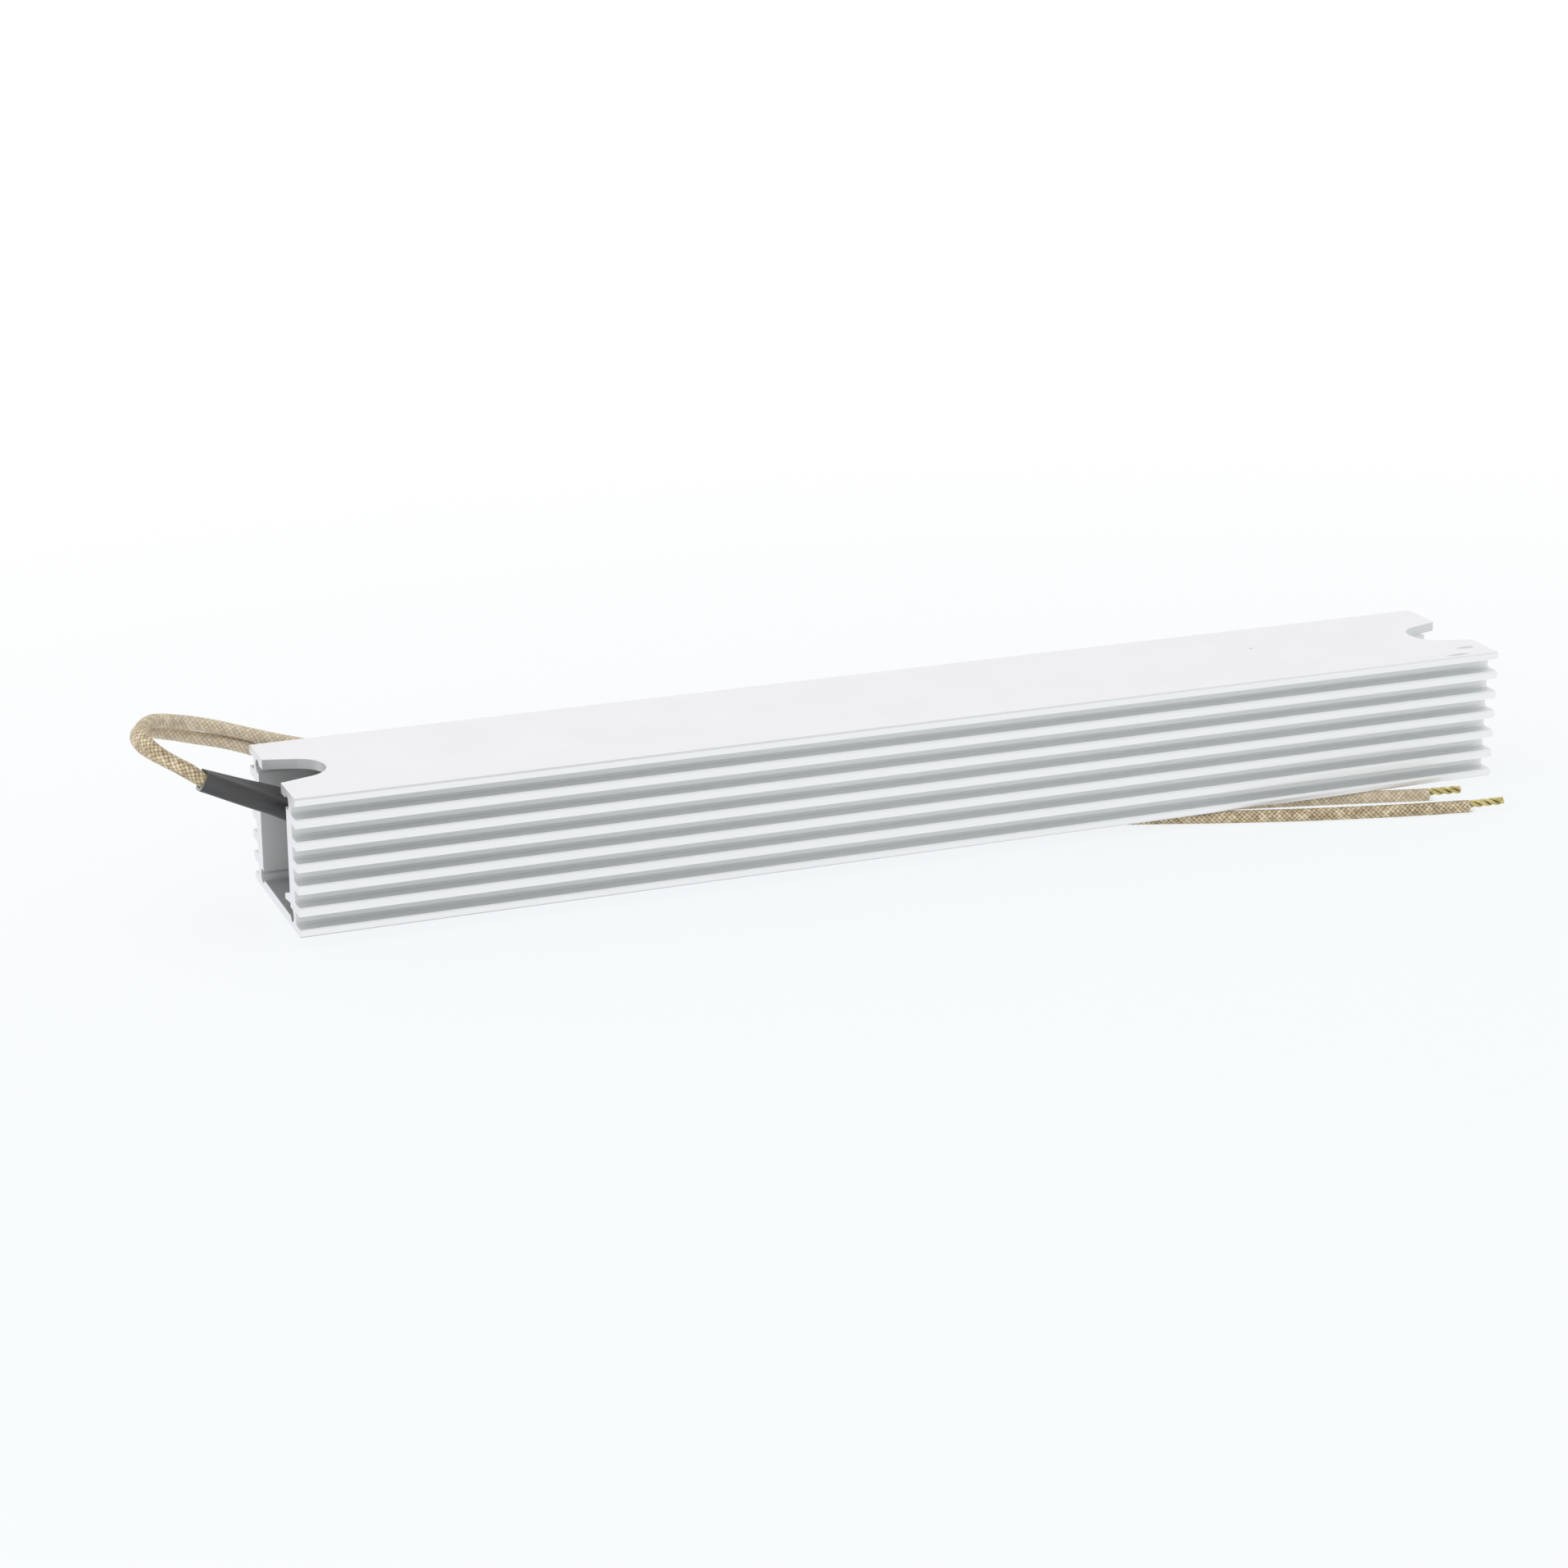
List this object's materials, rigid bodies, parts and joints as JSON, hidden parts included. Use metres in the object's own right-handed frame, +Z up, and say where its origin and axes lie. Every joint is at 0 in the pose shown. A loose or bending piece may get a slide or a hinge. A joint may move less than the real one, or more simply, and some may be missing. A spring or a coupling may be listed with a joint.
{
  "type": "braking resistor",
  "caption": "Flat braking resistor in a finned aluminium extrusion, open at both ends, with braided leads from one sleeve; it turns braking energy into heat.",
  "frame": {"origin": "middle of the housing, half way along, across and up the extrusion", "axes": "+X along the extrusion from the lead end to the blind end, +Z up from the base plate to the notched top plate, +Y across, away from the wall with the inner rib"},
  "size_m": [0.2833, 0.0583, 0.0384],
  "materials": {
    "housing": "satin anodised",
    "cement": "matte, cast",
    "sand": "matte, packed grains",
    "mica": "satin, faintly flaky",
    "wire": "drawn, lightly oxidised",
    "splice": "tinned",
    "braid": "glass-fibre braid, impregnated",
    "strand": "bare strands",
    "sleeve": "shrunk, satin"
  },
  "bodies": {
    "root": {"housing": "housing", "lead_end_plug": "cement", "blind_end_plug": "cement", "sand_fill": "sand", "mica_former": "mica", "mica_sheet_near": "mica", "mica_sheet_far": "mica", "resistance_wire": "wire", "crimp_a": "splice", "crimp_b": "splice", "lead_a": "braid", "lead_b": "braid", "conductor_a": "strand", "conductor_b": "strand", "sleeve": "sleeve"}
  },
  "joints": []
}
